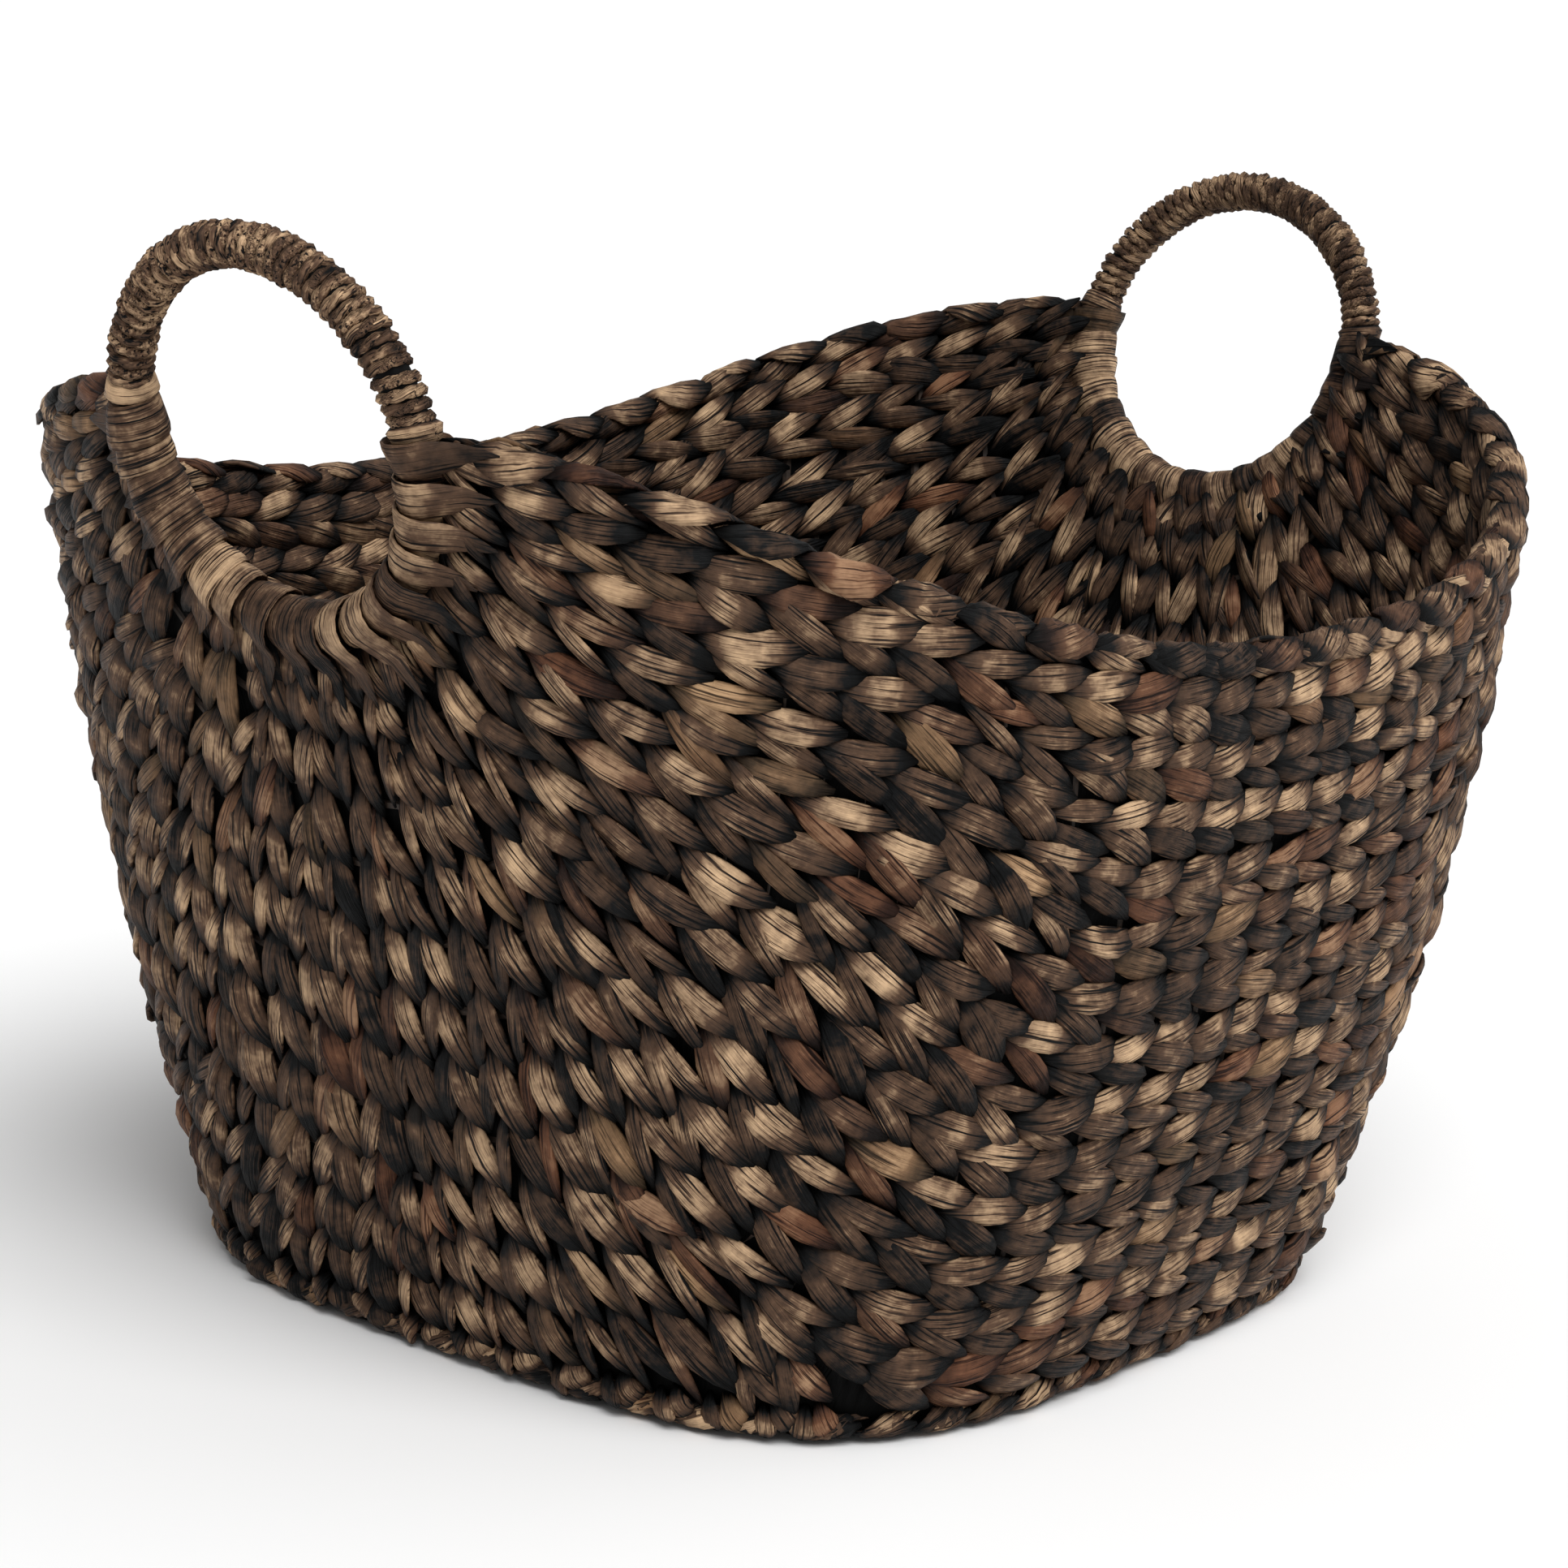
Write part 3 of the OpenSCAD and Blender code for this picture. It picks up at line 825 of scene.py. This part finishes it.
class BASKET_OT_foot(bpy.types.Operator):
    """Twists the rolls round the foot and inside it"""
    bl_idname = "basket.foot"
    bl_label = "Foot rolls"

    def execute(self, context):
        b = np.linspace(0, 360, 721)
        for name, node_name, height, depth, radius, turn, seed in (
                ("foot_braid", "foot_roll", FOOT_ROLL_D / 2 + 0.4, FOOT_ROLL_D / 2, 3.6, 10, 61),
                ("inner_foot_braid", "inner_foot_roll", 18.5, 22.0, 2.6, 20, 62)):
            builder = LeafBuilder(seed)
            for k in range(5):
                centre, out = roll_line(b, np.full(len(b), height), depth, turn + 72 * k)
                braid(builder, centre + out * radius, out, 0.3, 22.0, 8.6, 2.8, 1, 1.2, 0.2 * k, 22, radius)
            builder.finish(name, "roll_leaf", node_name)
        return {"FINISHED"}


class BASKET_OT_floor(bpy.types.Operator):
    """Twines both faces of the floor"""
    bl_idname = "basket.floor"
    bl_label = "Floor"

    def execute(self, context):
        s = sizes()
        for name, node_name, z, sign, inset in (("floor_leaves_upper", "floor_weave_upper", 13.0, 1, 20.0),
                                                ("floor_leaves_lower", "floor_weave_lower", 1.6, -1, 12.0)):
            builder = LeafBuilder(71 if sign > 0 else 72)
            half_l, half_w = s.foot_len / 2 / MM - inset, s.foot_wid / 2 / MM - inset
            rows = int(half_w / 10.5)
            for r in range(-rows, rows + 1):
                y = r * half_w / (rows + 0.5)
                reach = half_l * (1 - (abs(y) / half_w) ** N_FOOT) ** (1 / N_FOOT)
                x = np.linspace(-reach, reach, 40)
                up = np.tile([0.0, 0.0, float(sign)], (len(x), 1))
                line = Line(np.stack([x, 0 * x + y, 0 * x + z], -1), up)
                at = CROSS_PITCH * (np.arange(-9, 9) + 0.5)
                for k in at[np.abs(at) < reach - 3]:
                    builder.leaf(line, k + reach, 1 if r % 2 else -1, 0.0, 31.0, 12.6, 4.0, -2.4, 2.6,
                                 math.radians(20), False)
            builder.finish(name, "floor_leaf", node_name)
        return {"FINISHED"}


# ---------------------------------------------------------------- ring handles

ARCH = 80.0                       # half the arch that the cord covers, degrees
PLY_TWIST = 11.0                  # length of one twist of the cord's two plies


def ring_frame(side, turn):
    """Centre of the ring's wire, and its outward and sideways units, turn in degrees from the top"""
    s = sizes()
    turn = np.radians(turn)
    lean = s.ring_lean
    x0 = side * (s.rim_len / 2 - s.wall_t / 2 - 0.0005) / MM
    up = np.array([side * math.sin(lean), 0, math.cos(lean)])
    outward = np.array([side * math.cos(lean), 0, -math.sin(lean)])
    radial = np.cos(turn)[..., None] * up + np.sin(turn)[..., None] * np.array([0.0, 1.0, 0.0])
    centre = np.array([x0, 0, s.ring_h / MM]) + radial * s.ring_r / MM
    return centre, radial, np.broadcast_to(outward, radial.shape)


def tube(points, outward, radius, sides):
    """Points and faces of a round tube along a path, and the angles of its sides"""
    t = unit(np.gradient(points, axis=0))
    n = square_to(t, outward)
    x = np.cross(n, t)
    a = np.linspace(0, 2 * np.pi, sides, endpoint=False)
    ring = points[:, None] + radius * (np.cos(a)[:, None] * n[:, None] + np.sin(a)[:, None] * x[:, None])
    m = len(points)
    caps = [list(range(sides))[::-1], [(m - 1) * sides + j for j in range(sides)]]
    return ring.reshape(-1, 3), grid_faces(m, sides, False) + caps, a


def joined(name, parts):
    """One mesh object of several parts, each its points in mm, faces, strand and tone"""
    faces, base = [], 0
    for part in parts:
        faces += [[i + base for i in face] for face in part[1]]
        base += len(part[0])
    points, strand, tone = (np.concatenate([part[k] for part in parts]) for k in (0, 2, 3))
    return mesh_object(name, points * MM, faces, strand, tone)


class BASKET_OT_cord(bpy.types.Operator):
    """Winds the twisted two-ply cord round each arch"""
    bl_idname = "basket.cord"
    bl_label = "Handle cord"

    def execute(self, context):
        turns = sizes().cord_turns
        steps = turns * 24
        f = np.linspace(0, 1, steps + 1)
        wind = 2 * np.pi * turns * f
        for side, name in ((-1, "left"), (1, "right")):
            rng = np.random.default_rng(81 + side)
            wobble = np.interp(f * turns, np.arange(turns + 1), rng.normal(size=turns + 1))
            centre, radial, across = ring_frame(side, -ARCH + 2 * ARCH * f + 0.35 * wobble)
            out = np.cos(wind)[:, None] * radial + np.sin(wind)[:, None] * across
            lie = 6.1 + 0.22 * np.interp(f * turns, np.arange(turns + 1), rng.normal(size=turns + 1))
            lie = lie - 1.6 * np.clip(1 - np.minimum(f, 1 - f) * turns / 0.6, 0, 1)
            middle = centre + out * lie[:, None]
            beside = np.cross(out, unit(np.gradient(middle, axis=0)))
            run = run_along(middle)
            parts = []
            for ply in (0, 1):
                twist = 2 * np.pi * run / PLY_TWIST + math.pi * ply
                path = middle + 0.62 * (np.cos(twist)[:, None] * out + np.sin(twist)[:, None] * beside)
                points, faces, a = tube(path, out, 1.72, 6)
                u = np.repeat(run, 6)
                strand = np.stack([u, np.tile(a, len(run)) * 1.2, 0 * u], -1)
                shade = np.interp(f * turns * 2, np.arange(turns * 2 + 1), rng.random(turns * 2 + 1))
                g = np.repeat(shade, 6)
                tone = np.stack([0.25 + 0.60 * g, 0.5 + 0 * g, 0.6 * g, 1 + 0 * g], -1)
                parts.append((points, faces, strand, tone))
            # a dark lining closes the gaps between the turns as painted shade
            centre, radial, across = ring_frame(side, np.linspace(-ARCH, ARCH, 60))
            points, faces, a = tube(centre, radial, 5.9, 14)
            parts.append((points, faces, np.tile([0.0, 0.0, 0.9], (len(points), 1)),
                          np.tile([0.0, 0.0, 0.0, 1.0], (len(points), 1))))
            piece = joined(name + "_arch_cord", parts)
            finish_piece(piece, leaf_stain_shade_highlight("twisted_hyacinth_cord", 1.20, 0.55), "twisted_cord",
                         name + "_handle_cord")
        return {"FINISHED"}


def wrap(side, turn, width, inner, outer, skew, rng, steps=22):
    """One flat leaf wound once round the ring: points, faces, strand"""
    a = np.linspace(0, 2 * np.pi, steps, endpoint=False)
    across = np.array([-1.0, -0.55, 0.0, 0.55, 1.0, 0.5, -0.5])
    lift = np.array([0.0, 0.62, 0.78, 1.0, 0.35, -0.25, -0.4])
    wob = 0.25 * np.sin(a * 2 + rng.random() * 6)
    pts = np.empty((steps, len(across), 3))
    for j, (x, l) in enumerate(zip(across, lift)):
        turn_j = turn + np.degrees((x * width / 2 + skew * np.sin(a)) / (sizes().ring_r / MM + 4))
        centre, radial, sideways = ring_frame(side, turn_j)
        r = inner + (outer - inner) * l + wob * (1 - abs(x)) + (0.0 if l > 0 else -0.6)
        pts[:, j] = centre + r[:, None] * (np.cos(a)[:, None] * radial + np.sin(a)[:, None] * sideways)
    m = len(across)
    # the edges get a place near the leaf's end, so the crown mask darkens them, partly stain and partly
    # painted shade where the wraps meet
    strand = np.stack([np.repeat(a * outer, m), np.tile(across * width / 2, steps),
                       np.tile(np.where(np.abs(across) > 0.9, 0.75, 0.0), steps)], -1)
    return pts.reshape(-1, 3), grid_faces(steps, m), strand


def wraps(name, side, turns, width, inner, outer, seed, node_name, skew=2.0):
    """Flat leaves wound round the ring side by side"""
    rng = np.random.default_rng(seed)
    parts = []
    for k, turn in enumerate(turns):
        points, faces, strand = wrap(side, turn + rng.normal() * 0.5, width * (1 + 0.08 * rng.normal()),
                                     inner, outer, skew * (1 + 0.5 * rng.normal()), rng)
        own, red, pale = rng.random(3)
        parts.append((points, faces, strand + [37.0 * k, 0, 0],
                      np.tile([own, red * 0.9, pale * 0.9, 1.0], (len(points), 1))))
    piece = joined(name, parts)
    recalculate(piece)
    finish_piece(piece, leaf_stain_shade_highlight(), "binding_leaf", node_name)


def beside_ring(side, turn, face):
    """Points and normals from the ring's edge on over the wall's outside (face 1) or inside (face -1)"""
    s = sizes()
    reach = s.ring_r / MM + np.linspace(15, 50, 12)
    y = reach * math.sin(math.radians(turn))
    z = s.ring_h / MM + reach * math.cos(math.radians(turn)) * math.cos(s.ring_lean)
    for _ in range(2):
        n, l, w = corner_n(z), half_len(z), half_wid(z)
        x = l * (1 - (np.abs(y) / w) ** n) ** (1 / n)
        b = np.degrees(np.arctan2(np.abs(y), x))
        z = np.minimum(z, rim_z(b) - ROLL_D / 2)
    normal = wall_out(b, z) * np.array([-side, 1.0, 1.0]) * np.stack([1 + 0 * y, -np.sign(y), 1 + 0 * y], -1)
    skin = np.stack([side * x, y, z], -1)
    if face < 0:
        skin = skin - normal * s.wall_t / MM
    return skin + normal * face * 1.2, normal * face


STRAP_R = 9.0                     # of the straps round the ring's wire


def straps(name, side, turns, length, width, seed, node_name):
    """Wide leaves laid over the ring, one point tucked into the weave outside and one inside"""
    builder = LeafBuilder(seed, STRAP_STATIONS)
    for turn in turns:
        turn = turn + builder.rng.normal() * 0.7
        centre, radial, outward = ring_frame(side, np.array([float(turn)]))
        a = np.radians(np.linspace(318, 42, 47))[:, None]
        out = np.cos(a) * radial + np.sin(a) * outward
        inside, inside_out = beside_ring(side, turn, -1)
        outside, outside_out = beside_ring(side, turn, 1)
        line = Line(np.concatenate([inside[::-1], centre + out * STRAP_R, outside]),
                    np.concatenate([inside_out[::-1], out, outside_out]))
        middle = line.run[len(inside) + 23]
        builder.leaf(line, middle + builder.rng.normal() * 1.5, 1, 0.0, length, width, 2.3, 0.2, 2.6,
                     math.radians(7), False, wild=0.5, tilt=0.14, bent=True)
    for strand in builder.strand:
        strand[:, 2] *= 0.72
    builder.finish(name, "binding_leaf", node_name)


class BASKET_OT_bindings(bpy.types.Operator):
    """Binds the lower half of each ring with wide flat leaves whose points run down into the weave"""
    bl_idname = "basket.bindings"
    bl_label = "Ring bindings"

    def execute(self, context):
        for side, name in ((-1, "left"), (1, "right")):
            wraps(name + "_ring_wraps", side, np.linspace(90, 270, 17), 14.5, 6.0, 7.7, 91 + side,
                  name + "_ring_binding")
            straps(name + "_ring_straps", side, np.linspace(109, 251, 14), 86.0, 15.5, 95 + side,
                   name + "_ring_binding")
        return {"FINISHED"}


class BASKET_OT_lashings(bpy.types.Operator):
    """Lashes each shoulder of the rings to the rim"""
    bl_idname = "basket.lashings"
    bl_label = "Shoulder lashings"

    def execute(self, context):
        for side, name in ((-1, "left"), (1, "right")):
            for front in (True, False):
                end = "front" if front else "back"
                ring_turns = np.array([81.0, 86.0])
                strap_turns = np.array([90.0, 99.0])
                if front:
                    ring_turns, strap_turns = 360 - ring_turns, 360 - strap_turns
                corner = name + "_" + end
                wraps(corner + "_shoulder_wraps", side, ring_turns, 8.5, 6.4, 9.3, 101 + side + 3 * front,
                      corner + "_lashing", skew=0.8)
                straps(corner + "_shoulder_straps", side, strap_turns, 92.0, 15.5, 111 + side + 3 * front,
                       corner + "_lashing")
        return {"FINISHED"}


# ---------------------------------------------------------------- carried-over nodes

class BASKET_OT_frame_finish(bpy.types.Operator):
    """Gives the wire rings, rim rods and rattan stakes their finish"""
    bl_idname = "basket.frame_finish"
    bl_label = "Frame finish"

    def execute(self, context):
        enamel = plain_fibre("black_enamelled_wire", "0C0C0C", "1C1B1A", 3.0, 0.45)
        rattan = plain_fibre("stained_rattan_core", "1E1611", "3A2B20", 2.0, 0.7)
        for name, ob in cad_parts.items():
            if name.endswith(("handle_ring", "rim_rod")):
                material = enamel
            elif "stake" in name:
                material = rattan
            else:
                continue
            ob.data.materials.clear()
            ob.data.materials.append(material)
        return {"FINISHED"}


# ---------------------------------------------------------------- stage

# degrees and mm: where the camera stands from the basket's middle line, then how it is turned
CAMERA = {"azimuth": -52.044, "elevation": 13.24, "distance": 1610.475, "height": 166.551,
          "yaw": -0.109, "pitch": 0.676, "roll": 3.207, "lens": 96.1114}


def add_camera():
    c = CAMERA
    az, el = math.radians(c["azimuth"]), math.radians(c["elevation"])
    back = Vector((math.sin(az) * math.cos(el), -math.cos(az) * math.cos(el), math.sin(el)))
    spot = Vector((0, 0, c["height"])) + c["distance"] * back
    look = -back
    right = look.cross(Vector((0, 0, 1))).normalized()
    up = right.cross(look)
    yaw, pitch, roll = (math.radians(c[k]) for k in ("yaw", "pitch", "roll"))
    look = (look * math.cos(yaw) * math.cos(pitch) + right * math.sin(yaw) * math.cos(pitch)
            + up * math.sin(pitch)).normalized()
    right = look.cross(Vector((0, 0, 1))).normalized()
    up = right.cross(look)
    right, up = (right * math.cos(roll) + up * math.sin(roll), up * math.cos(roll) - right * math.sin(roll))
    data = bpy.data.cameras.new("camera")
    data.sensor_width = 36
    data.lens = c["lens"]
    data.clip_end = 100
    ob = bpy.data.objects.new("camera", data)
    turn = Matrix((right, up, -look)).transposed().to_4x4()
    ob.matrix_world = Matrix.Translation(spot * MM) @ turn
    bpy.context.scene.collection.objects.link(ob)
    bpy.context.scene.camera = ob


def add_light(name, spot, spread, strength):
    """A distant soft light shining from a spot towards the basket"""
    data = bpy.data.lights.new(name, "SUN")
    data.angle = math.radians(spread)
    data.energy = strength
    ob = bpy.data.objects.new(name, data)
    aim = (-Vector(spot)).to_track_quat("-Z", "Y").to_matrix().to_4x4()
    ob.matrix_world = Matrix.Translation(Vector(spot)) @ aim
    bpy.context.scene.collection.objects.link(ob)


class BASKET_OT_stage(bpy.types.Operator):
    """Sets the pale floor, the soft lights and the camera"""
    bl_idname = "basket.stage"
    bl_label = "Stage"

    def execute(self, context):
        scene = context.scene
        scene.view_settings.view_transform = "Standard"
        add_camera()
        world = bpy.data.worlds.new("studio")
        world.use_nodes = True
        background = world.node_tree.nodes["Background"].inputs
        background["Color"].default_value = (1, 1, 1, 1)
        background["Strength"].default_value = 0.40
        scene.world = world
        deselect()
        bpy.ops.mesh.primitive_plane_add(size=80, location=(0, 0, 0))
        floor = context.object
        floor.name = "studio_floor"
        m, t = new_material("pale_studio_paper")
        pale = linear(colours().floor_pale)
        shader = node(t, "ShaderNodeBsdfPrincipled", {"Base Color": pale, "Roughness": 0.9})
        node(t, "ShaderNodeOutputMaterial", {0: shader})
        floor.data.materials.append(m)
        add_light("key", (-0.9, -1.5, 2.4), 40, 2.7)
        add_light("fill", (1.8, -1.4, 1.5), 60, 0.7)
        return {"FINISHED"}


# ---------------------------------------------------------------- panel and run

class BASKET_PT_panel(bpy.types.Panel):
    """Lists the basket's pieces and settings"""
    bl_label = "Twined log basket"
    bl_idname = "BASKET_PT_panel"
    bl_space_type = "VIEW_3D"
    bl_region_type = "UI"
    bl_category = "Basket"

    def draw(self, context):
        for group in (context.scene.basket_sizes, context.scene.basket_colours):
            for name in group.__annotations__:
                self.layout.prop(group, name)
        for op in OPERATORS:
            self.layout.operator(op.bl_idname)


OPERATORS = (BASKET_OT_stage, BASKET_OT_frame_finish, BASKET_OT_core, BASKET_OT_outer_leaves,
             BASKET_OT_inner_leaves, BASKET_OT_rim, BASKET_OT_foot, BASKET_OT_floor, BASKET_OT_cord,
             BASKET_OT_bindings, BASKET_OT_lashings)
CLASSES = (BasketSizes, BasketColours) + OPERATORS + (BASKET_PT_panel,)


def register():
    for cls in CLASSES:
        bpy.utils.register_class(cls)
    bpy.types.Scene.basket_sizes = bpy.props.PointerProperty(type=BasketSizes)
    bpy.types.Scene.basket_colours = bpy.props.PointerProperty(type=BasketColours)


def unregister():
    del bpy.types.Scene.basket_colours
    del bpy.types.Scene.basket_sizes
    for cls in reversed(CLASSES):
        bpy.utils.unregister_class(cls)


def main():
    register()
    for op in OPERATORS:
        group, name = op.bl_idname.split(".")
        getattr(getattr(bpy.ops, group), name)()


if __name__ == "__main__":
    main()
